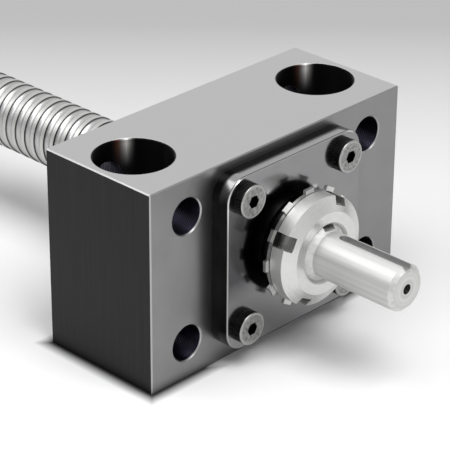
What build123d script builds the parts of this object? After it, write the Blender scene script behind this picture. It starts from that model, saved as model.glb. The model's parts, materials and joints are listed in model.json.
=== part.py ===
"""End support block for a ball screw, with the driven end of the screw fitted.

The housing stands on its underside. The screw axis runs along Y: the driven end of the
shaft points to -Y and the thread leaves the back of the block along +Y. Z is up, X runs
across the block. The origin is the middle of the underside, between the two base bolts.
All sizes are in millimetres.
"""
from build123d import *
import os
from math import cos, radians, sin, tan

os.makedirs("parts", exist_ok=True)

# Housing block
block_width = 118.0
block_depth = 48.0
block_height = 72.0
block_edge_break = 0.4
bore_height = 37.5
rear_web = 3.5
rear_web_bore_d = 38.0

# Vertical base bolts, with deep counterbores
bolt_spacing = 86.0
bolt_hole_d = 17.5
bolt_cbore_d = 26.5
bolt_cbore_depth = 30.0
bolt_edge_break = 0.4

# Through holes in the front face, for bolting the block up by its face
face_hole_spacing_x = 86.0
face_hole_spacing_z = 46.0
face_hole_d = 12.4
face_hole_chamfer = 0.45

# Retainer plate
plate_width = 63.5
plate_height = 62.5
plate_thickness = 7.0
plate_corner_r = 8.0
plate_edge_chamfer = 0.5
plate_opening_d = 32.0
spigot_length = 5.0

# Low-head socket screws that hold the plate
plate_screw_spacing = 46.4
screw_d = 6.0
screw_hole_clearance = 0.3
screw_head_d = 11.4
screw_head_height = 3.3
screw_head_round = 0.4
screw_socket_af = 4.0
screw_socket_depth = 2.0
screw_thread_depth = 14.0
tapped_hole_spare = 2.0

# Pair of angular contact ball bearings
bearing_bore_d = 20.0
bearing_od = 47.0
bearing_width = 14.0
bearing_ball_d = 7.94
bearing_ball_count = 11
race_clearance = 0.05
outer_land_d = 37.6
land_gap = 4.1
outer_relief_d = 40.6
ring_edge_break = 0.8
cage_clearance = 0.85
cage_width = 10.6
cage_pocket_clearance = 0.2
spacer_width = 4.0
spacer_wall = 3.0

# Shaft seals, their garter springs and the collars they run on
seal_od = 42.0
seal_width = 7.0
seal_end_clearance = 0.5
seal_wall = 1.8
seal_web = 1.8
seal_lip_clearance = 0.1
seal_lip_height = 1.5
seal_lip_taper = 0.6
garter_coil_d = 1.4
garter_setback = 2.0
collar_od = 30.0
collar_edge_break = 0.5

# Lock washer with tabs
washer_thickness = 1.2
washer_body_d = 38.2
washer_tab_d = 41.2
washer_tab_count = 12
washer_tab_width = 4.0
washer_tab_angle = 90.5
bent_tab_number = 8
bent_tab_width = 3.6
bent_tab_reach = 4.6
bent_tab_clearance = 0.15
bent_tab_notch = 0.8
tang_clearance = 0.2

# Slotted locknut
nut_od = 38.0
nut_thickness = 7.7
nut_face_d = 28.8
nut_cone_angle = 30.0
nut_slot_count = 4
nut_slot_width = 5.0
nut_slot_depth = 2.8
nut_slot_angle = 62.0
nut_back_chamfer = 0.25
nut_face_round = 0.3
nut_thread_chamfer = 0.7

# Ball screw
land_d = 24.7
lead = 5.08
groove_r = 1.82
ball_circle_d = 26.0
thread_length = 106.0
screw_end_chamfer = 1.2
journal_back_length = 15.0
locknut_thread_d = 20.0
thread_beyond_washer = 2.2
undercut_d = 18.4
undercut_width = 2.0
shaft_d = 16.0
shaft_length = 33.0
shaft_end_chamfer = 1.4
thread_recess = 0.9
centre_hole_d = 1.8
centre_hole_mouth_d = 3.6
centre_hole_depth = 4.0
centre_hole_angle = 60.0

# Grooves cut along the shaft: a keyway in the driven end, and one for the washer's tang
groove_angle = 83.0
keyway_width = 4.0
keyway_depth = 2.0
keyway_length = 29.0
tang_groove_width = 5.0
tang_groove_depth = 1.7

# Gap between the plate and the lock washer, bridged by the front collar
washer_gap = 5.2

# Places along Y, worked out from the sizes above
y_front = -block_depth / 2
y_back = block_depth / 2
y_plate_face = y_front - plate_thickness
y_front_bearing = y_front + spigot_length
y_spacer = y_front_bearing + bearing_width
y_rear_bearing = y_spacer + spacer_width
y_web = y_rear_bearing + bearing_width
y_rear_pocket = y_web + rear_web
y_front_pocket = y_front_bearing - seal_width - seal_end_clearance
y_washer_back = y_plate_face - washer_gap
y_nut_back = y_washer_back - washer_thickness
y_nut_face = y_nut_back - nut_thickness
y_thread_end = y_nut_face + thread_recess
y_shaft_start = y_thread_end - (locknut_thread_d - shaft_d) / 2
y_shaft_end = y_shaft_start - shaft_length
y_undercut = y_washer_back + thread_beyond_washer
y_journal = y_undercut + undercut_width
y_screw_shoulder = y_web + journal_back_length
y_screw_end = y_screw_shoulder + thread_length

# The screw axis, and a half plane through it: local x runs along Y, local y is the radius
screw_axis = Axis((0, 0, bore_height), (0, 1, 0))
half_plane = Plane(origin=(0, 0, bore_height), x_dir=(0, 1, 0), z_dir=(1, 0, 0))


def across(y, angle=0.0):
    """Plane across the screw axis at y, facing the front, with local x outward at the angle."""
    outward = (cos(radians(angle)), 0, sin(radians(angle)))
    return Plane(origin=(0, y, bore_height), x_dir=outward, z_dir=(0, -1, 0))


def circles_of(builder, diameter):
    """The circular edges of a piece that have the given diameter."""
    circles = builder.edges().filter_by(GeomType.CIRCLE)
    return circles.filter_by(lambda edge: abs(edge.radius - diameter / 2) < 1e-6)


def save(builder, label):
    """Label a finished piece and write its STEP file."""
    builder.part.label = label
    export_step(builder.part, f"parts/{label}.step")


# Housing block
with BuildPart() as housing_block:
    Box(block_width, block_depth, block_height, align=(Align.CENTER, Align.CENTER, Align.MIN))
    chamfer(housing_block.edges(), block_edge_break)
    # Bore for the bearings and the plate's spigot, the web behind the rear bearing, its seal seat
    with BuildSketch(across(y_front)):
        Circle(bearing_od / 2)
    extrude(amount=-(y_web - y_front), mode=Mode.SUBTRACT)
    with BuildSketch(across(y_web)):
        Circle(rear_web_bore_d / 2)
    extrude(amount=-rear_web, mode=Mode.SUBTRACT)
    with BuildSketch(across(y_rear_pocket)):
        Circle(seal_od / 2)
    extrude(amount=-(y_back - y_rear_pocket), mode=Mode.SUBTRACT)
    # Base bolt holes
    with Locations((0, 0, block_height)):
        with GridLocations(bolt_spacing, 0, 2, 1):
            CounterBoreHole(bolt_hole_d / 2, bolt_cbore_d / 2, bolt_cbore_depth)
    chamfer(circles_of(housing_block, bolt_cbore_d).group_by(Axis.Z)[-1], bolt_edge_break)
    # Tapped holes for the plate's screws
    with BuildSketch(across(y_front)):
        with GridLocations(plate_screw_spacing, plate_screw_spacing, 2, 2):
            Circle(screw_d / 2)
    extrude(amount=-(screw_thread_depth + tapped_hole_spare), mode=Mode.SUBTRACT)
    # Face holes, right through from front to back
    with BuildSketch(across(y_front)):
        with Locations((0, block_height / 2 - bore_height)):
            with GridLocations(face_hole_spacing_x, face_hole_spacing_z, 2, 2):
                Circle(face_hole_d / 2)
    extrude(amount=-block_depth, mode=Mode.SUBTRACT)
    face_hole_mouths = circles_of(housing_block, face_hole_d).group_by(Axis.Y)
    chamfer(face_hole_mouths[0] + face_hole_mouths[-1], face_hole_chamfer)
save(housing_block, "housing_block")

# Retainer plate, with the spigot that holds the bearings in and the pocket for the front seal
with BuildPart() as retainer_plate:
    with BuildSketch(across(y_front)):
        RectangleRounded(plate_width, plate_height, plate_corner_r)
    extrude(amount=plate_thickness)
    chamfer(retainer_plate.faces().sort_by(Axis.Y)[0].edges(), plate_edge_chamfer)
    with BuildSketch(across(y_front)):
        Circle(bearing_od / 2)
    extrude(amount=-spigot_length)
    with BuildSketch(across(y_front_bearing)):
        Circle(seal_od / 2)
    extrude(amount=y_front_bearing - y_front_pocket, mode=Mode.SUBTRACT)
    with BuildSketch(across(y_front_pocket)):
        Circle(plate_opening_d / 2)
    extrude(amount=y_front_pocket - y_plate_face, mode=Mode.SUBTRACT)
    with BuildSketch(across(y_front)):
        with GridLocations(plate_screw_spacing, plate_screw_spacing, 2, 2):
            Circle(screw_d / 2 + screw_hole_clearance)
    extrude(amount=plate_thickness, mode=Mode.SUBTRACT)
save(retainer_plate, "retainer_plate")

# Four low-head socket screws
with BuildPart() as retainer_screws:
    with BuildSketch(across(y_plate_face)):
        with GridLocations(plate_screw_spacing, plate_screw_spacing, 2, 2):
            Circle(screw_head_d / 2)
    extrude(amount=screw_head_height)
    fillet(circles_of(retainer_screws, screw_head_d).group_by(Axis.Y)[0], screw_head_round)
    with BuildSketch(across(y_plate_face)):
        with GridLocations(plate_screw_spacing, plate_screw_spacing, 2, 2):
            Circle(screw_d / 2)
    extrude(amount=-(plate_thickness + screw_thread_depth))
    with BuildSketch(across(y_plate_face - screw_head_height)):
        with GridLocations(plate_screw_spacing, plate_screw_spacing, 2, 2):
            RegularPolygon(screw_socket_af / 2, 6, major_radius=False)
    extrude(amount=-screw_socket_depth, mode=Mode.SUBTRACT)
save(retainer_screws, "retainer_screws")

# The two ball bearings: rings, balls and cages. The relieved shoulders face each other.
ball_circle_r = (bearing_bore_d + bearing_od) / 4
race_r = bearing_ball_d / 2 + race_clearance
inner_land_d = outer_land_d - 2 * land_gap
cage_outer_r = outer_land_d / 2 - cage_clearance
cage_inner_r = inner_land_d / 2 + cage_clearance
for side, y_start, inward in (("front", y_front_bearing, 1), ("rear", y_rear_bearing, -1)):
    y_middle = y_start + bearing_width / 2

    with BuildPart() as outer_ring:
        with BuildSketch(half_plane):
            with Locations((y_middle, (bearing_od + outer_land_d) / 4)):
                Rectangle(bearing_width, (bearing_od - outer_land_d) / 2)
            with Locations((y_middle + inward * bearing_width / 4, (outer_relief_d + outer_land_d) / 4)):
                Rectangle(bearing_width / 2, (outer_relief_d - outer_land_d) / 2, mode=Mode.SUBTRACT)
            with Locations((y_middle, ball_circle_r)):
                Circle(race_r, mode=Mode.SUBTRACT)
        revolve(axis=screw_axis)
        chamfer(circles_of(outer_ring, bearing_od), ring_edge_break)
    save(outer_ring, f"{side}_bearing_outer_ring")

    with BuildPart() as inner_ring:
        with BuildSketch(half_plane):
            with Locations((y_middle, (bearing_bore_d + inner_land_d) / 4)):
                Rectangle(bearing_width, (inner_land_d - bearing_bore_d) / 2)
            with Locations((y_middle, ball_circle_r)):
                Circle(race_r, mode=Mode.SUBTRACT)
        revolve(axis=screw_axis)
        chamfer(circles_of(inner_ring, bearing_bore_d), ring_edge_break)
    save(inner_ring, f"{side}_bearing_inner_ring")

    with BuildPart(across(y_middle)) as bearing_balls:
        with PolarLocations(ball_circle_r, bearing_ball_count):
            Sphere(bearing_ball_d / 2)
    save(bearing_balls, f"{side}_bearing_balls")

    with BuildPart(across(y_middle)) as bearing_cage:
        Cylinder(cage_outer_r, cage_width)
        Cylinder(cage_inner_r, cage_width, mode=Mode.SUBTRACT)
        # Pockets for the balls, drilled from the axis outwards
        with PolarLocations(0, bearing_ball_count):
            Cylinder(
                bearing_ball_d / 2 + cage_pocket_clearance,
                cage_outer_r + cage_clearance,
                rotation=(0, 90, 0),
                align=(Align.CENTER, Align.CENTER, Align.MIN),
                mode=Mode.SUBTRACT,
            )
    save(bearing_cage, f"{side}_bearing_cage")

# Spacer rings between the two bearings
with BuildPart() as outer_spacer:
    with BuildSketch(across(y_spacer)):
        Circle(bearing_od / 2)
        Circle(bearing_od / 2 - spacer_wall, mode=Mode.SUBTRACT)
    extrude(amount=-spacer_width)
save(outer_spacer, "outer_spacer")

with BuildPart() as inner_spacer:
    with BuildSketch(across(y_spacer)):
        Circle(bearing_bore_d / 2 + spacer_wall)
        Circle(bearing_bore_d / 2, mode=Mode.SUBTRACT)
    extrude(amount=-spacer_width)
save(inner_spacer, "inner_spacer")

# Shaft seals, open sides towards the bearings, with a garter spring round each lip
lip_r = collar_od / 2 + seal_lip_clearance
lip_seat_r = lip_r + seal_lip_height
garter_depth = seal_width - garter_setback
for side, y_outside, inward in (
    ("front", y_front_pocket, 1),
    ("rear", y_rear_pocket + seal_width, -1),
):
    with BuildPart() as seal:
        with BuildSketch(half_plane):
            with BuildLine():
                Polyline(
                    (y_outside, seal_od / 2),
                    (y_outside + inward * seal_width, seal_od / 2),
                    (y_outside + inward * seal_width, seal_od / 2 - seal_wall),
                    (y_outside + inward * seal_web, seal_od / 2 - seal_wall),
                    (y_outside + inward * seal_web, lip_seat_r + seal_lip_taper),
                    (y_outside + inward * (garter_depth - garter_coil_d), lip_seat_r),
                    (y_outside + inward * (garter_depth + garter_coil_d), lip_seat_r),
                    (y_outside + inward * garter_depth, lip_r),
                    (y_outside, lip_r + 2 * seal_lip_taper),
                    close=True,
                )
            make_face()
        revolve(axis=screw_axis)
    save(seal, f"{side}_seal")

    with BuildPart() as garter_spring:
        with BuildSketch(half_plane):
            with Locations((y_outside + inward * garter_depth, lip_seat_r + garter_coil_d / 2)):
                Circle(garter_coil_d / 2)
        revolve(axis=screw_axis)
    save(garter_spring, f"{side}_garter_spring")

# Collars that the seals run on, between the inner rings and the washer or the screw's shoulder
for side, y_from, y_to in (
    ("front", y_washer_back, y_front_bearing),
    ("rear", y_web, y_screw_shoulder),
):
    with BuildPart() as collar:
        with BuildSketch(across(y_from)):
            Circle(collar_od / 2)
            Circle(bearing_bore_d / 2, mode=Mode.SUBTRACT)
        extrude(amount=-(y_to - y_from))
        chamfer(circles_of(collar, collar_od), collar_edge_break)
    save(collar, f"{side}_collar")

# Lock washer: a tang in the shaft's groove, tabs all round, one of them bent into a nut slot
slot_floor_r = nut_od / 2 - nut_slot_depth
bent_tab_r = slot_floor_r + bent_tab_clearance + washer_thickness / 2
tab_root_r = (locknut_thread_d + 2 * slot_floor_r) / 4
tang_tip_r = locknut_thread_d / 2 - tang_groove_depth + tang_clearance
with BuildPart() as lock_washer:
    with BuildSketch(across(y_washer_back)):
        Circle(washer_body_d / 2)
        Circle(locknut_thread_d / 2, mode=Mode.SUBTRACT)
    extrude(amount=washer_thickness)
    for number in range(washer_tab_count):
        bent = number == bent_tab_number
        tab_tip_r = bent_tab_r + washer_thickness / 2 if bent else washer_tab_d / 2
        tab_width = bent_tab_width if bent else washer_tab_width
        tab_angle = washer_tab_angle + number * 360 / washer_tab_count
        if bent:
            # Cut the rim away round the tab, from just inside its fold
            with BuildSketch(across(y_washer_back, tab_angle)):
                with Locations(((slot_floor_r + washer_tab_d / 2) / 2, 0)):
                    Rectangle(washer_tab_d / 2 - slot_floor_r, tab_width + 2 * bent_tab_notch)
            extrude(amount=washer_thickness, mode=Mode.SUBTRACT)
        with BuildSketch(across(y_washer_back, tab_angle)):
            with Locations(((tab_root_r + tab_tip_r) / 2, 0)):
                Rectangle(tab_tip_r - tab_root_r, tab_width)
        extrude(amount=washer_thickness)
        if bent:
            with BuildSketch(across(y_washer_back, tab_angle)):
                with Locations((bent_tab_r, 0)):
                    Rectangle(washer_thickness, tab_width)
            extrude(amount=bent_tab_reach)
    with BuildSketch(across(y_washer_back, groove_angle)):
        with Locations(((tang_tip_r + tab_root_r) / 2, 0)):
            Rectangle(tab_root_r - tang_tip_r, tang_groove_width - 2 * tang_clearance)
    extrude(amount=washer_thickness)
save(lock_washer, "lock_washer")

# Slotted locknut
y_nut_rim = y_nut_face + (nut_od - nut_face_d) / 2 * tan(radians(nut_cone_angle))
nut_bore_r = locknut_thread_d / 2
with BuildPart() as locknut:
    with BuildSketch(half_plane):
        with BuildLine():
            Polyline(
                (y_nut_back, nut_bore_r + nut_thread_chamfer),
                (y_nut_back, nut_od / 2 - nut_back_chamfer),
                (y_nut_back - nut_back_chamfer, nut_od / 2),
                (y_nut_rim, nut_od / 2),
                (y_nut_face, nut_face_d / 2),
                (y_nut_face, nut_bore_r + nut_thread_chamfer),
                (y_nut_face + nut_thread_chamfer, nut_bore_r),
                (y_nut_back - nut_thread_chamfer, nut_bore_r),
                close=True,
            )
        make_face()
    revolve(axis=screw_axis)
    fillet(circles_of(locknut, nut_face_d), nut_face_round)
    with BuildSketch(across(y_nut_back, nut_slot_angle)):
        with PolarLocations(nut_od / 2, nut_slot_count):
            Rectangle(2 * nut_slot_depth, nut_slot_width)
    extrude(amount=nut_thickness, mode=Mode.SUBTRACT)
save(locknut, "locknut")

# Ball screw. The ball groove is cut in a longer blank, which is then cut off at both ends.
run_out = 2 * lead
blank_spare = 1.5 * run_out
with BuildPart() as ball_screw:
    with BuildSketch(across(y_screw_shoulder - blank_spare)):
        Circle(land_d / 2)
    extrude(amount=-(thread_length + 2 * blank_spare))
    with BuildLine() as groove_path:
        Helix(
            lead,
            thread_length + 2 * run_out,
            ball_circle_d / 2,
            center=(0, y_screw_shoulder - run_out, bore_height),
            direction=(0, 1, 0),
        )
    groove_start = groove_path.line @ 0
    outward = groove_start - Vector(0, groove_start.Y, bore_height)
    with BuildSketch(Plane(origin=groove_start, x_dir=outward, z_dir=groove_path.line % 0)):
        with BuildLine():
            groove_floor = CenterArc((0, 0), groove_r, 90, 180)
            Line(groove_floor @ 0, groove_floor @ 1)
        make_face()
    sweep(path=groove_path.line, is_frenet=True, mode=Mode.SUBTRACT)
    split(bisect_by=across(y_screw_shoulder), keep=Keep.BOTTOM)
    split(bisect_by=across(y_screw_end), keep=Keep.TOP)
    # Chamfer at the far end of the thread
    with BuildSketch(half_plane):
        with BuildLine():
            Polyline(
                (y_screw_end - screw_end_chamfer, land_d / 2),
                (y_screw_end, land_d / 2 - screw_end_chamfer),
                (y_screw_end, land_d / 2),
                close=True,
            )
        make_face()
    revolve(axis=screw_axis, mode=Mode.SUBTRACT)
    # Journal, locknut thread and driven end
    with BuildSketch(half_plane):
        with BuildLine():
            Polyline(
                (y_screw_shoulder, 0),
                (y_screw_shoulder, bearing_bore_d / 2),
                (y_journal, bearing_bore_d / 2),
                (y_journal, undercut_d / 2),
                (y_undercut, undercut_d / 2),
                (y_undercut, locknut_thread_d / 2),
                (y_thread_end, locknut_thread_d / 2),
                (y_shaft_start, shaft_d / 2),
                (y_shaft_end + shaft_end_chamfer, shaft_d / 2),
                (y_shaft_end, shaft_d / 2 - shaft_end_chamfer),
                (y_shaft_end, 0),
                close=True,
            )
        make_face()
    revolve(axis=screw_axis)
    # Keyway in the driven end, open at the end of the shaft
    keyway_side = (cos(radians(groove_angle)), 0, sin(radians(groove_angle)))
    keyway_plane = Plane(origin=(0, y_shaft_end, bore_height), x_dir=(0, 1, 0), z_dir=keyway_side)
    with BuildSketch(keyway_plane.offset(shaft_d / 2 - keyway_depth)):
        with Locations(((keyway_length - keyway_width) / 2, 0)):
            SlotOverall(keyway_length + keyway_width, keyway_width)
    extrude(amount=2 * keyway_depth, mode=Mode.SUBTRACT)
    # Groove in the locknut thread for the washer's tang
    with BuildSketch(across(y_undercut, groove_angle)):
        with Locations((locknut_thread_d / 2, 0)):
            Rectangle(2 * tang_groove_depth, tang_groove_width)
    extrude(amount=y_undercut - y_shaft_start, mode=Mode.SUBTRACT)
    # Centre hole in the end face
    centre_cone_depth = (centre_hole_mouth_d - centre_hole_d) / 2 / tan(radians(centre_hole_angle / 2))
    with BuildSketch(half_plane):
        with BuildLine():
            Polyline(
                (y_shaft_end, 0),
                (y_shaft_end, centre_hole_mouth_d / 2),
                (y_shaft_end + centre_cone_depth, centre_hole_d / 2),
                (y_shaft_end + centre_hole_depth, centre_hole_d / 2),
                (y_shaft_end + centre_hole_depth, 0),
                close=True,
            )
        make_face()
    revolve(axis=screw_axis, mode=Mode.SUBTRACT)
save(ball_screw, "ball_screw")
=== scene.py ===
"""Finishes, studio and camera for a ball screw end support block.

Every object is in metres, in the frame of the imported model: +Y along the screw axis from
the driven end towards the thread, +Z up, the origin under the middle of the block.
"""
import json
import math

import bpy
from mathutils import Matrix, Vector


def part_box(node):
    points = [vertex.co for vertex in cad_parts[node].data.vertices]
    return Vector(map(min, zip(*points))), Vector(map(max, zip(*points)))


bl_info = {
    "name": "Ball screw end support block",
    "version": (1, 0, 0),
    "blender": (4, 5, 0),
    "location": "View3D > Sidebar > Support block",
    "description": "Finishes the pieces of a ball screw end support block and lights them",
    "category": "Object",
}

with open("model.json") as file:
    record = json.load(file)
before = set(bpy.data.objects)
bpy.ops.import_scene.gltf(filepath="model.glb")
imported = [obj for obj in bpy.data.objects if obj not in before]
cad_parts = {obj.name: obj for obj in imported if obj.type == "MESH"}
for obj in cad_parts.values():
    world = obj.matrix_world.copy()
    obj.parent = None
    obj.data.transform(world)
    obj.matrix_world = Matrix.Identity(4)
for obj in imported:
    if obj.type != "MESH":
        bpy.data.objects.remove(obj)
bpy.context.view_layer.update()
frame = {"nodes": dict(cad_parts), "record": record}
NODES = frame["nodes"]
MOUNTS = {m["name"]: m for m in frame["record"]["mounts"]}

MM = 0.001
BLOCK_LOW, BLOCK_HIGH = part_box("housing_block")
PLATE_LOW, PLATE_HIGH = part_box("retainer_plate")
HEAD_LOW, HEAD_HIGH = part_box("retainer_screws")
NUT_LOW, NUT_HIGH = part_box("locknut")
SHAFT_LOW, SHAFT_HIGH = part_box("ball_screw")
AXIS_HEIGHT = MOUNTS["shaft_end"]["pos_m"][2]
BOLT_SPACING = MOUNTS["base_bolts"]["dims"]["spacing_x_mm"] * MM
FACE_DIMS = MOUNTS["face_bolts"]["dims"]
FACE_HOLE_Z = MOUNTS["face_bolts"]["pos_m"][2]
FACE_HOLE_R = FACE_DIMS["hole_r_mm"] * MM
SHAFT_R = MOUNTS["shaft_end"]["dims"]["r_mm"] * MM
LAND_R = (SHAFT_HIGH.x - SHAFT_LOW.x) / 2
NUT_R = (NUT_HIGH.x - NUT_LOW.x) / 2
NUT_BORE_R = 10.0 * MM
COUNTERBORE_R = 13.25 * MM
SCREW_HEAD_R = 5.7 * MM
CENTRE_HOLE_R = 1.8 * MM

# A place this near to a surface counts as on it
SKIN = 0.05 * MM
# A surface whose normal has at least this part along an axis faces along it
FACING = 0.95
# and one with no part over this is slanted
SLANTED = 0.9

# The paper's half side, how far it lies below the block, and the depths of the view between
# which it darkens
FLOOR_HALF = 6.0
FLOOR_DROP = 0.05 * MM
SHADE_DEPTHS = (-0.09, 0.255)
# Radiance of the white cards, of the dark room above them, and of the even light on matt surfaces
CARD_LIGHT = 0.92
ROOM_LIGHT = 0.38
FILL_LIGHT = 0.3
# The dark slot in the left cards: its height, as Z of the unit vector to it, and its share of light
SLOT_HEIGHT = 0.29
SLOT_LIGHT = 0.2


def linear(hex_colour):
    """Linear RGBA of an sRGB hex colour such as "6b6c6e"."""
    channels = [int(hex_colour[i:i + 2], 16) / 255 for i in (0, 2, 4)]
    return tuple(c / 12.92 if c <= 0.04045 else ((c + 0.055) / 1.055) ** 2.4 for c in channels) + (1.0,)


def add(tree, kind, inputs=None, **settings):
    """Add a node with its settings; an input is a value or the socket that feeds it."""
    node = tree.nodes.new(kind)
    for name, value in settings.items():
        setattr(node, name, value)
    for socket, value in (inputs or {}).items():
        if isinstance(value, bpy.types.NodeSocket):
            tree.links.new(value, node.inputs[socket])
        else:
            node.inputs[socket].default_value = value
    return node


def new_material(name):
    """An empty node material with its output and a Principled shader linked to it."""
    material = bpy.data.materials.new(name)
    material.use_nodes = True
    tree = material.node_tree
    tree.nodes.clear()
    shader = add(tree, "ShaderNodeBsdfPrincipled")
    add(tree, "ShaderNodeOutputMaterial", {"Surface": shader.outputs["BSDF"]})
    return material, tree, shader


def finish_with(node_name, material):
    """Give a CAD node its material."""
    mesh = NODES[node_name].data
    mesh.materials.clear()
    mesh.materials.append(material)


def math_node(tree, operation, a, b=0.0):
    """Output of a Math node."""
    return add(tree, "ShaderNodeMath", {0: a, 1: b}, operation=operation).outputs[0]


def plus(tree, a, b):
    """Sum of two values."""
    return math_node(tree, "ADD", a, b)


def minus(tree, a, b):
    """Difference of two values."""
    return math_node(tree, "SUBTRACT", a, b)


def times(tree, a, b):
    """Product of two values, or the overlap of two masks."""
    return math_node(tree, "MULTIPLY", a, b)


def larger(tree, a, b):
    """The larger of two values, or the union of two masks."""
    return math_node(tree, "MAXIMUM", a, b)


def magnitude(tree, a):
    """A value without its sign."""
    return math_node(tree, "ABSOLUTE", a)


def below(tree, a, limit):
    """Mask that is 1 where a is less than the limit."""
    return math_node(tree, "LESS_THAN", a, limit)


def above(tree, a, limit):
    """Mask that is 1 where a is more than the limit."""
    return math_node(tree, "GREATER_THAN", a, limit)


def span(tree, value, low, high, to_low=0.0, to_high=1.0):
    """Value mapped from low..high to to_low..to_high, held at both ends."""
    return add(tree, "ShaderNodeMapRange", {0: value, 1: low, 2: high, 3: to_low, 4: to_high}).outputs[0]


def mix(tree, factor, a, b):
    """Colour a where factor is 0 and b where it is 1."""
    return add(tree, "ShaderNodeMix", {0: factor, 6: a, 7: b}, data_type="RGBA").outputs[2]


def wave(tree, value, pitch):
    """A sine wave of the given pitch along a coordinate."""
    return math_node(tree, "SINE", times(tree, value, math.tau / pitch))


def noise(tree, where, scale, detail):
    """Noise of 0 to 1 at a vector."""
    return add(tree, "ShaderNodeTexNoise", {"Vector": where, "Scale": scale, "Detail": detail}).outputs["Fac"]


def stretched(tree, where, factors):
    """A vector with each part multiplied by its own factor: one under 1 draws a pattern out."""
    return add(tree, "ShaderNodeVectorMath", {0: where, 1: factors}, operation="MULTIPLY").outputs[0]


def place_parts(tree):
    """Object coordinates in metres: the vector, and x, y, z apart."""
    where = add(tree, "ShaderNodeTexCoord").outputs["Object"]
    xyz = add(tree, "ShaderNodeSeparateXYZ", {0: where}).outputs
    return where, xyz["X"], xyz["Y"], xyz["Z"]


def normal_parts(tree):
    """Absolute components of the surface's own normal."""
    normal = add(tree, "ShaderNodeNewGeometry").outputs["True Normal"]
    local = add(tree, "ShaderNodeVectorTransform", {0: normal}, vector_type="NORMAL",
                convert_from="WORLD", convert_to="OBJECT").outputs[0]
    absolute = add(tree, "ShaderNodeVectorMath", {0: local}, operation="ABSOLUTE").outputs[0]
    xyz = add(tree, "ShaderNodeSeparateXYZ", {0: absolute}).outputs
    return xyz["X"], xyz["Y"], xyz["Z"]


def distance(tree, u, v):
    """Distance from an axis, given two coordinates measured from it."""
    return math_node(tree, "SQRT", plus(tree, times(tree, u, u), times(tree, v, v)))


def screw_radius(tree, x, z):
    """Distance from the screw axis."""
    return distance(tree, x, minus(tree, z, AXIS_HEIGHT))


def dress(tree, shader, colour, roughness, metallic=1.0):
    """Feed a colour and a roughness to the shader."""
    tree.links.new(colour, shader.inputs["Base Color"])
    tree.links.new(roughness, shader.inputs["Roughness"])
    shader.inputs["Metallic"].default_value = metallic


def emboss(tree, shader, height, depth_mm, strength=1.0):
    """Feed a bump of the given depth to the shader."""
    bump = add(tree, "ShaderNodeBump", {"Strength": strength, "Distance": depth_mm * MM, "Height": height})
    tree.links.new(bump.outputs[0], shader.inputs["Normal"])


class FinishSettings(bpy.types.PropertyGroup):
    """Colours and surface finishes of the metal pieces."""

    ground_black: bpy.props.FloatVectorProperty(
        name="Ground black", description="Black oxide over a ground face", subtype="COLOR", size=4,
        min=0, max=1, default=linear("898989"))
    milled_black: bpy.props.FloatVectorProperty(
        name="Milled black", description="Black oxide on the block's milled ends", subtype="COLOR",
        size=4, min=0, max=1, default=linear("2b2b2c"))
    dull_black: bpy.props.FloatVectorProperty(
        name="Dull black", description="Black oxide on the plate's sides and the screws", subtype="COLOR",
        size=4, min=0, max=1, default=linear("1e1e1f"))
    bright_steel: bpy.props.FloatVectorProperty(
        name="Bright steel", description="Turned and ground bare steel", subtype="COLOR", size=4,
        min=0, max=1, default=linear("d2d2d1"))
    ground_roughness: bpy.props.FloatProperty(
        name="Ground roughness", description="Roughness of the ground black faces", default=0.32,
        min=0.02, max=1, subtype="FACTOR")
    bright_roughness: bpy.props.FloatProperty(
        name="Bright roughness", description="Roughness of the bright steel", default=0.34,
        min=0.02, max=1, subtype="FACTOR")


class StageSettings(bpy.types.PropertyGroup):
    """Camera and floor."""

    camera_place: bpy.props.FloatVectorProperty(
        name="Camera place", description="Where the camera stands", subtype="TRANSLATION", unit="LENGTH",
        default=(-0.48258, -0.46487, 0.37888))
    camera_azimuth: bpy.props.FloatProperty(
        name="Azimuth", description="Turn of the view to the right of +Y", subtype="ANGLE",
        default=math.radians(46.020))
    camera_elevation: bpy.props.FloatProperty(
        name="Elevation", description="How far the camera looks down", subtype="ANGLE",
        default=math.radians(27.408))
    camera_roll: bpy.props.FloatProperty(
        name="Roll", description="Turn of the camera about its own view line", subtype="ANGLE",
        default=math.radians(0.383))
    field_of_view: bpy.props.FloatProperty(
        name="Field of view", description="Whole width of the view", subtype="ANGLE",
        default=math.radians(11.53))
    floor_near: bpy.props.FloatVectorProperty(
        name="Floor, near", description="Floor colour in front of the block", subtype="COLOR", size=4,
        min=0, max=1, default=linear("fefefe"))
    floor_far: bpy.props.FloatVectorProperty(
        name="Floor, far", description="Floor colour well behind the block", subtype="COLOR", size=4,
        min=0, max=1, default=linear("bfbfbf"))
    contact_width: bpy.props.FloatProperty(
        name="Contact shadow", description="Width of the dark line round the foot of the block",
        default=4.6 * MM, min=0.5 * MM, max=0.05, unit="LENGTH")


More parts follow.
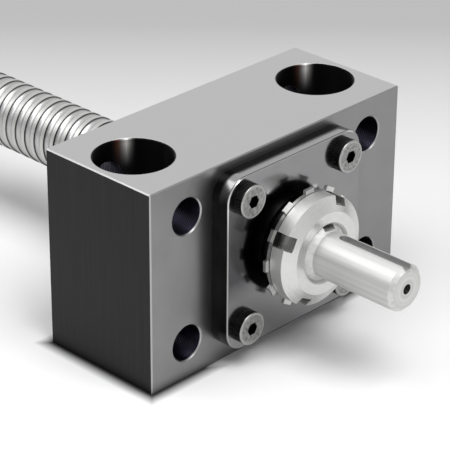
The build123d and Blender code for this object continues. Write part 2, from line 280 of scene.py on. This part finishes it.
def ground_black_oxide(settings):
    """Black oxide on surface-ground steel: a dark soft mirror with fine grinding lines, belt
    lines on the milled ends, dead black in the drilled holes and bare metal on the broken edges."""
    material, tree, shader = new_material("ground_black_oxide_steel")
    where, x, y, z = place_parts(tree)
    nx, ny, nz = normal_parts(tree)
    # Distance from the nearest face hole and from the nearest base bolt, all patterns being symmetric
    hole_x = minus(tree, magnitude(tree, x), FACE_DIMS["spacing_x_mm"] * MM / 2)
    rise = magnitude(tree, minus(tree, z, FACE_HOLE_Z))
    from_hole = distance(tree, hole_x, minus(tree, rise, FACE_DIMS["spacing_y_mm"] * MM / 2))
    from_bolt = distance(tree, minus(tree, magnitude(tree, x), BOLT_SPACING / 2), y)
    in_face_hole = below(tree, from_hole, FACE_HOLE_R + SKIN)
    under_top = below(tree, z, BLOCK_HIGH.z - SKIN)
    in_bolt_hole = times(tree, below(tree, from_bolt, COUNTERBORE_R + 0.5 * MM), under_top)
    inside = larger(tree, in_face_hole, in_bolt_hole)
    slanted = below(tree, larger(tree, nx, larger(tree, ny, nz)), SLANTED)
    edge = times(tree, slanted, minus(tree, 1.0, inside))
    # Grinding lines: 0.25 mm apart across the faces, drawn out upwards
    lines = noise(tree, stretched(tree, where, (1.0, 1.0, 0.03)), 4000.0, 2.0)
    mottle = noise(tree, where, 90.0, 4.0)
    black = mix(tree, span(tree, mottle, 0.45, 0.75), linear("151516"), linear("1c1917"))
    # The counterbore's wall: a painted highlight, one upright light streak where the wall mirrors
    # the lamp, with a brown band next to it. Angles are in degrees about the bolt's axis
    side_x = times(tree, math_node(tree, "SIGN", x), BOLT_SPACING / 2)
    turn = math_node(tree, "ARCTAN2", y, minus(tree, x, side_x))
    near_mouth = span(tree, z, BLOCK_HIGH.z - 11 * MM, BLOCK_HIGH.z - 2 * MM)
    for hex_colour, middle, half_width in (("4a3026", 69, 12), ("c8c6c4", 56, 14)):
        off = magnitude(tree, minus(tree, turn, math.radians(middle)))
        band = times(tree, span(tree, off, math.radians(half_width), 0), near_mouth)
        black = mix(tree, times(tree, band, band), black, linear(hex_colour))
    black = mix(tree, in_face_hole, black, linear("343240"))
    face = mix(tree, span(tree, mottle, 0.35, 0.65), settings.ground_black, linear("858585"))
    # Belt lines on the milled ends and back, 1 mm apart so that they show
    belt = noise(tree, stretched(tree, where, (1.0, 1.0, 0.02)), 1000.0, 3.0)
    milled = mix(tree, span(tree, belt, 0.3, 0.7), settings.milled_black, linear("262627"))
    face = mix(tree, above(tree, nx, FACING), face, milled)
    face = mix(tree, above(tree, y, BLOCK_HIGH.y - 0.1 * MM), face, milled)
    # Painted light: the top is painted lighter than the other faces, for the light it catches from above
    face = mix(tree, above(tree, nz, FACING), face, linear("bdbdbd"))
    colour = mix(tree, inside, face, black)
    colour = mix(tree, edge, colour, linear("a8a8a8"))
    ground = settings.ground_roughness
    roughness = span(tree, lines, 0.3, 0.7, ground - 0.04, ground + 0.05)
    roughness = larger(tree, roughness, times(tree, in_bolt_hole, 0.45))
    dress(tree, shader, colour, roughness)
    # Tool marks: rings in the face holes, and ones too fine to draw in the bolt holes, which
    # draw each highlight out along the hole
    face_rings = times(tree, wave(tree, y, 0.8 * MM), in_face_hole)
    emboss(tree, shader, plus(tree, times(tree, lines, 0.02), face_rings), 0.07)
    tree.links.new(add(tree, "ShaderNodeCombineXYZ", {"Z": 1.0}).outputs[0], shader.inputs["Tangent"])
    tree.links.new(times(tree, in_bolt_hole, 0.95), shader.inputs["Anisotropic"])
    return material


def milled_black_oxide(settings):
    """Black oxide on the retainer plate: ground front, dull milled sides, bright broken edges with painted
    highlights and painted reflections.
    """
    material, tree, shader = new_material("milled_black_oxide_steel")
    where, x, y, z = place_parts(tree)
    _, ny, nz = normal_parts(tree)
    front = above(tree, ny, FACING)
    edge = times(tree, below(tree, y, PLATE_LOW.y + 0.32 * MM), minus(tree, 1.0, front))
    mottle = span(tree, noise(tree, where, 120.0, 4.0), 0.3, 0.7)
    side = mix(tree, mottle, settings.dull_black, linear("302f30"))
    # Painted reflection: the top side is painted light next to the front, where it mirrors the bright room
    painted_top_sheen = span(tree, y, PLATE_LOW.y + 4.3 * MM, PLATE_LOW.y + 3.3 * MM)
    side = mix(tree, times(tree, nz, painted_top_sheen), side, linear("a0a0a0"))
    face = mix(tree, mottle, settings.ground_black, linear("838385"))
    # Painted reflection: the face is painted deeper black left of the nut, for the nut's dark mirror image
    level = minus(tree, z, AXIS_HEIGHT)
    dark_nut_reflection = times(tree, span(tree, level, 24 * MM, 8 * MM), span(tree, level, -13 * MM, -5 * MM))
    dark_nut_reflection = times(tree, span(tree, x, -10 * MM, -24 * MM), dark_nut_reflection)
    face = mix(tree, dark_nut_reflection, face, linear("4e4e50"))
    # Painted highlight: the bare broken edge is painted brightest round the top corners, where it catches the
    # light
    corner_glint = span(tree, z, PLATE_HIGH.z - 20 * MM, PLATE_HIGH.z - 10 * MM)
    rim = mix(tree, corner_glint, linear("9c9c9c"), settings.bright_steel)
    colour = mix(tree, edge, mix(tree, front, side, face), rim)
    dress(tree, shader, colour, span(tree, larger(tree, front, nz), 0.0, 1.0, 0.4, 0.15))
    emboss(tree, shader, noise(tree, where, 5000.0, 2.0), 0.02, 0.1)
    return material


def turned_bright_steel(settings, name, hex_colour, line_mm, roughness, strength,
                        painted_shade_r=0.0, satin_r=0.0, rim_r=1.0):
    """Bare steel off the lathe: bright, with faint rings round the screw axis, painted near black
    as shade inside the given shade radius, and rougher inside satin_r and outside rim_r."""
    material, tree, shader = new_material(name)
    where, x, y, z = place_parts(tree)
    radius = screw_radius(tree, x, z)
    rings = add(tree, "ShaderNodeTexNoise",
                {"W": plus(tree, radius, y), "Scale": 1.0 / (line_mm * MM), "Detail": 3.0},
                noise_dimensions="1D").outputs["Fac"]
    stain = span(tree, noise(tree, where, 150.0, 3.0), 0.3, 0.75)
    colour = mix(tree, stain, settings.bright_steel, linear(hex_colour))
    # Painted shade: near black inside the shade radius, where the washer lies behind the nut
    colour = mix(tree, below(tree, radius, painted_shade_r), colour, linear("1c1c1c"))
    polish = span(tree, rings, 0.3, 0.7, roughness - 0.03, roughness + 0.04)
    coarse = larger(tree, below(tree, radius, satin_r), above(tree, radius, rim_r))
    dress(tree, shader, colour, plus(tree, polish, times(tree, coarse, 0.2)))
    emboss(tree, shader, rings, 0.03, strength)
    return material


def ground_screw_steel(settings):
    """The ball screw: satin ground bare steel, dark in the keyway, painted dark as shade in the
    centre hole, with a smoother rolled thread."""
    material, tree, shader = new_material("ground_ball_screw_steel")
    where, x, y, z = place_parts(tree)
    radius = screw_radius(tree, x, z)
    # Polishing streaks about 1 mm wide, drawn out along the shaft, and turned rings on its two ends
    on_end = above(tree, normal_parts(tree)[1], SLANTED)
    ringed = add(tree, "ShaderNodeCombineXYZ", {"X": radius}).outputs[0]
    drawn = mix(tree, on_end, stretched(tree, where, (1.0, 0.02, 1.0)), ringed)
    streaks = noise(tree, drawn, 600.0, 1.0)
    colour = mix(tree, span(tree, streaks, 0.35, 0.7), settings.bright_steel, linear("c0c0bf"))
    # The keyway: below the shaft's surface, behind its end chamfer and in front of the nut
    on_shaft = times(tree, above(tree, y, SHAFT_LOW.y + 1.5 * MM), below(tree, y, NUT_LOW.y - 1.5 * MM))
    keyway = times(tree, on_shaft, below(tree, radius, SHAFT_R - 0.1 * MM))
    colour = mix(tree, keyway, colour, linear("a8a8a8"))
    # Painted shade: the centre hole is painted dark
    in_centre = times(tree, below(tree, radius, CENTRE_HOLE_R - SKIN), above(tree, y, SHAFT_LOW.y + SKIN))
    colour = mix(tree, in_centre, colour, linear("2b2b2b"))
    # Behind the block the rolled thread is darker than the ground shaft. Its groove is painted
    # darker still as painted shade, with a painted reflection, a dark line just below the land
    thread = above(tree, y, BLOCK_HIGH.y - 2 * MM)
    groove = times(tree, thread, below(tree, radius, LAND_R - 0.08 * MM))
    painted_dark_line = span(tree, radius, LAND_R - 0.7 * MM, LAND_R - 0.3 * MM)
    colour = mix(tree, thread, colour, linear("c4c4c2"))
    colour = mix(tree, groove, colour, mix(tree, painted_dark_line, linear("bababa"), linear("424242")))
    rough = settings.bright_roughness
    polish = span(tree, streaks, 0.3, 0.7, rough + 0.2, rough + 0.24)
    polish = span(tree, thread, 0.0, 1.0, polish, 0.37)
    # The cone behind the shaft is a little rougher
    on_cone = times(tree, below(tree, y, BLOCK_LOW.y), above(tree, radius, SHAFT_R + SKIN))
    dress(tree, shader, colour, plus(tree, polish, times(tree, on_cone, 0.02)))
    return material


def blackened_screw_steel(settings):
    """Black oxide cap screws: black knurled sides and sockets, head faces worn bright."""
    material, tree, shader = new_material("blackened_screw_steel")
    where, x, y, z = place_parts(tree)
    # Place round the nearest head's own axis
    head_x = minus(tree, magnitude(tree, x), HEAD_HIGH.x - SCREW_HEAD_R)
    rise = magnitude(tree, minus(tree, z, AXIS_HEIGHT))
    head_z = minus(tree, rise, HEAD_HIGH.z - AXIS_HEIGHT - SCREW_HEAD_R)
    from_centre = distance(tree, head_x, head_z)
    wear = noise(tree, where, 900.0, 4.0)
    bright = mix(tree, span(tree, wear, 0.35, 0.7), linear("9c9c9b"), linear("6e6e6d"))
    rim = span(tree, from_centre, SCREW_HEAD_R - 1.0 * MM, SCREW_HEAD_R - 0.6 * MM)
    bright = mix(tree, rim, bright, linear("a6a6a5"))
    socket = times(tree, above(tree, y, HEAD_LOW.y + SKIN), below(tree, from_centre, SCREW_HEAD_R / 2))
    on_face = times(tree, below(tree, y, HEAD_LOW.y + 0.3 * MM), minus(tree, 1.0, socket))
    colour = mix(tree, on_face, settings.dull_black, bright)
    dress(tree, shader, colour, span(tree, wear, 0.3, 0.7, 0.3, 0.42))
    # Straight knurl round each head, 48 teeth
    knurl = wave(tree, math_node(tree, "ARCTAN2", head_z, head_x), math.tau / 48)
    on_side = times(tree, above(tree, y, HEAD_LOW.y + 0.5 * MM),
                    above(tree, from_centre, SCREW_HEAD_R - 0.1 * MM))
    emboss(tree, shader, plus(tree, times(tree, wear, 0.05), times(tree, knurl, on_side)), 0.06)
    return material


def plain_finish(name, hex_colour, metallic, roughness, grain_mm):
    """A finish for the enclosed pieces: one colour with a fine grain of the given size."""
    material, tree, shader = new_material(name)
    where = place_parts(tree)[0]
    grain = noise(tree, where, 1.0 / (grain_mm * MM), 2.0)
    light = linear(hex_colour)
    dark = tuple(0.85 * c for c in light[:3]) + (1.0,)
    dress(tree, shader, mix(tree, span(tree, grain, 0.3, 0.7), light, dark),
          span(tree, grain, 0.3, 0.7, roughness - 0.04, roughness + 0.04), metallic)
    return material


def matt_paper(settings):
    """White paper that darkens with depth in the view, with a painted contact shadow round the block's foot.
    """
    material, tree, shader = new_material("matt_paper_floor")
    _, x, y, _ = place_parts(tree)
    azimuth = settings.camera_azimuth
    depth = plus(tree, times(tree, x, math.sin(azimuth)), times(tree, y, math.cos(azimuth)))
    fall = span(tree, depth, *SHADE_DEPTHS)
    colour = mix(tree, times(tree, fall, fall), settings.floor_near, settings.floor_far)
    # The painted contact shadow stops below the plate, which throws a shadow of its own there
    outside = larger(tree, minus(tree, magnitude(tree, x), BLOCK_HIGH.x),
                     minus(tree, magnitude(tree, y), BLOCK_HIGH.y))
    below_plate = span(tree, magnitude(tree, x), PLATE_HIGH.x + 3 * MM, PLATE_HIGH.x - 5 * MM)
    clear = larger(tree, below_plate, span(tree, outside, 0.3 * MM, settings.contact_width))
    colour = mix(tree, clear, linear("484848"), colour)
    tree.links.new(colour, shader.inputs["Base Color"])
    shader.inputs["Roughness"].default_value = 0.9
    shader.inputs["Specular IOR Level"].default_value = 0.0
    return material


def make_floor(scene, settings):
    """A large sheet of paper just below the block."""
    mesh = bpy.data.meshes.new("floor")
    corners = [(x * FLOOR_HALF, y * FLOOR_HALF, 0) for x, y in ((-1, -1), (1, -1), (1, 1), (-1, 1))]
    mesh.from_pydata(corners, [], [(0, 1, 2, 3)])
    floor = bpy.data.objects.new("floor", mesh)
    scene.collection.objects.link(floor)
    floor.location.z = -FLOOR_DROP
    mesh.materials.append(matt_paper(settings))


def make_world(scene):
    """The studio: white cards all round for the camera and for reflections, and a dimmer even
    light for the rest. Numbers are parts of the unit vector towards each place."""
    world = bpy.data.worlds.new("studio")
    scene.world = world
    world.use_nodes = True
    tree = world.node_tree
    tree.nodes.clear()
    rays = add(tree, "ShaderNodeLightPath").outputs
    seen = larger(tree, rays["Is Camera Ray"], rays["Is Glossy Ray"])
    heading = add(tree, "ShaderNodeTexCoord").outputs["Generated"]
    towards = add(tree, "ShaderNodeSeparateXYZ", {0: heading}).outputs
    # In front of the block the room is dark above the cards
    in_front = span(tree, towards["Y"], -0.15, -0.4)
    above_cards = span(tree, towards["Z"], 0.34, 0.48)
    backdrop = span(tree, times(tree, in_front, above_cards), 0, 1, CARD_LIGHT, ROOM_LIGHT)
    # A dark slot in the left cards draws the lines of the thread
    to_left = span(tree, towards["X"], -0.5, -0.65)
    off_slot = magnitude(tree, minus(tree, towards["Z"], SLOT_HEIGHT))
    slot = times(tree, to_left, span(tree, off_slot, 0.12, 0.06))
    backdrop = times(tree, backdrop, span(tree, slot, 0, 1, 1.0, SLOT_LIGHT))
    strength = plus(tree, times(tree, seen, backdrop), span(tree, seen, 0, 1, FILL_LIGHT, 0.0))
    light = add(tree, "ShaderNodeBackground", {"Color": (1, 1, 1, 1), "Strength": strength})
    add(tree, "ShaderNodeOutputWorld", {"Surface": light.outputs[0]})


def area_lamp(scene, name, place, side, radiance):
    """A square softbox that faces the origin."""
    light = bpy.data.lights.new(name, "AREA")
    light.shape = "SQUARE"
    light.size = side
    light.energy = radiance * side * side * math.pi
    lamp = bpy.data.objects.new(name, light)
    scene.collection.objects.link(lamp)
    lamp.location = place
    lamp.rotation_euler = (-Vector(place)).to_track_quat("-Z", "Y").to_euler()


def make_camera(scene, settings):
    """The camera of the photograph."""
    camera_data = bpy.data.cameras.new("camera")
    camera_data.sensor_fit = "HORIZONTAL"
    camera_data.angle = settings.field_of_view
    camera = bpy.data.objects.new("camera", camera_data)
    scene.collection.objects.link(camera)
    azimuth, elevation = settings.camera_azimuth, settings.camera_elevation
    look = Vector((math.sin(azimuth) * math.cos(elevation), math.cos(azimuth) * math.cos(elevation),
                   -math.sin(elevation)))
    turn = look.to_track_quat("-Z", "Y").to_matrix() @ Matrix.Rotation(settings.camera_roll, 3, "Z")
    camera.matrix_world = Matrix.Translation(settings.camera_place) @ turn.to_4x4()
    scene.camera = camera


class BLOCK_OT_stage(bpy.types.Operator):
    """Make the floor, the lamps and the camera"""

    bl_idname = "block.stage"
    bl_label = "Stage"

    def execute(self, context):
        scene = context.scene
        settings = scene.stage_settings
        scene.view_settings.view_transform = "Standard"
        make_floor(scene, settings)
        make_world(scene)
        area_lamp(scene, "front_softbox", (-0.06, -0.58, 1.2), 0.75, 6.25)
        area_lamp(scene, "back_softbox", (-0.5, 0.42, 1.15), 1.15, 1.9)
        make_camera(scene, settings)
        return {"FINISHED"}


class BLOCK_OT_housing(bpy.types.Operator):
    """Finish the housing block and its retainer plate"""

    bl_idname = "block.housing"
    bl_label = "Housing and plate"

    def execute(self, context):
        settings = context.scene.finish_settings
        finish_with("housing_block", ground_black_oxide(settings))
        finish_with("retainer_plate", milled_black_oxide(settings))
        return {"FINISHED"}


class BLOCK_OT_screws(bpy.types.Operator):
    """Finish the four screws of the retainer plate"""

    bl_idname = "block.screws"
    bl_label = "Plate screws"

    def execute(self, context):
        finish_with("retainer_screws", blackened_screw_steel(context.scene.finish_settings))
        return {"FINISHED"}


class BLOCK_OT_shaft(bpy.types.Operator):
    """Finish the ball screw, its locknut, lock washer and collars"""

    bl_idname = "block.shaft"
    bl_label = "Screw and locknut"

    def execute(self, context):
        settings = context.scene.finish_settings
        rough = settings.bright_roughness
        finish_with("ball_screw", ground_screw_steel(settings))
        nut = turned_bright_steel(settings, "turned_nut_steel", "c9c9c7", 0.3, rough - 0.06, 0.05,
                                  satin_r=NUT_BORE_R + 0.9 * MM, rim_r=NUT_R - 0.2 * MM)
        finish_with("locknut", nut)
        # The washer is painted near black behind the nut, as painted shade
        washer = turned_bright_steel(settings, "pressed_washer_steel", "c4c4c2", 0.6, rough, 0.1,
                                     painted_shade_r=NUT_R)
        finish_with("lock_washer", washer)
        # Painted shade: the collars are painted near black for the dark gap behind the nut
        collar = plain_finish("shaded_collar_steel", "2a2a2b", 1.0, 0.35, 0.3)
        finish_with("front_collar", collar)
        finish_with("rear_collar", collar)
        return {"FINISHED"}


class BLOCK_OT_inside(bpy.types.Operator):
    """Finish the bearings, spacers, seals and springs inside the block"""

    bl_idname = "block.inside"
    bl_label = "Bearings and seals"

    def execute(self, context):
        finishes = {
            "bearing_inner_ring": plain_finish("honed_bearing_steel", "b8b8ba", 1.0, 0.18, 0.3),
            "bearing_balls": plain_finish("polished_ball_steel", "d5d5d8", 1.0, 0.08, 0.5),
            "bearing_cage": plain_finish("moulded_polyamide", "b8ab86", 0.0, 0.45, 0.4),
            "seal": plain_finish("moulded_nitrile_rubber", "1c1c1d", 0.0, 0.6, 0.3),
            "garter_spring": plain_finish("drawn_spring_wire", "9a9a9c", 1.0, 0.3, 0.4),
        }
        finishes["bearing_outer_ring"] = finishes["bearing_inner_ring"]
        for side in ("front", "rear"):
            for piece, material in finishes.items():
                finish_with(f"{side}_{piece}", material)
        spacer = plain_finish("ground_spacer_steel", "a9a9aa", 1.0, 0.3, 0.3)
        finish_with("outer_spacer", spacer)
        finish_with("inner_spacer", spacer)
        return {"FINISHED"}


OPERATORS = (BLOCK_OT_stage, BLOCK_OT_housing, BLOCK_OT_screws, BLOCK_OT_shaft, BLOCK_OT_inside)


class BLOCK_PT_panel(bpy.types.Panel):
    """Buttons for each group of pieces"""

    bl_label = "Support block"
    bl_idname = "BLOCK_PT_panel"
    bl_space_type = "VIEW_3D"
    bl_region_type = "UI"
    bl_category = "Support block"

    def draw(self, context):
        for operator in OPERATORS:
            self.layout.operator(operator.bl_idname)


CLASSES = (FinishSettings, StageSettings, *OPERATORS, BLOCK_PT_panel)


def register():
    """Register the classes and hang the settings on the scene."""
    for cls in CLASSES:
        bpy.utils.register_class(cls)
    bpy.types.Scene.finish_settings = bpy.props.PointerProperty(type=FinishSettings)
    bpy.types.Scene.stage_settings = bpy.props.PointerProperty(type=StageSettings)


def unregister():
    """Take the settings and the classes away again."""
    del bpy.types.Scene.stage_settings
    del bpy.types.Scene.finish_settings
    for cls in reversed(CLASSES):
        bpy.utils.unregister_class(cls)


def main():
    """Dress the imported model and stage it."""
    register()
    bpy.ops.block.stage()
    bpy.ops.block.housing()
    bpy.ops.block.screws()
    bpy.ops.block.shaft()
    bpy.ops.block.inside()


if __name__ == "__main__":
    main()
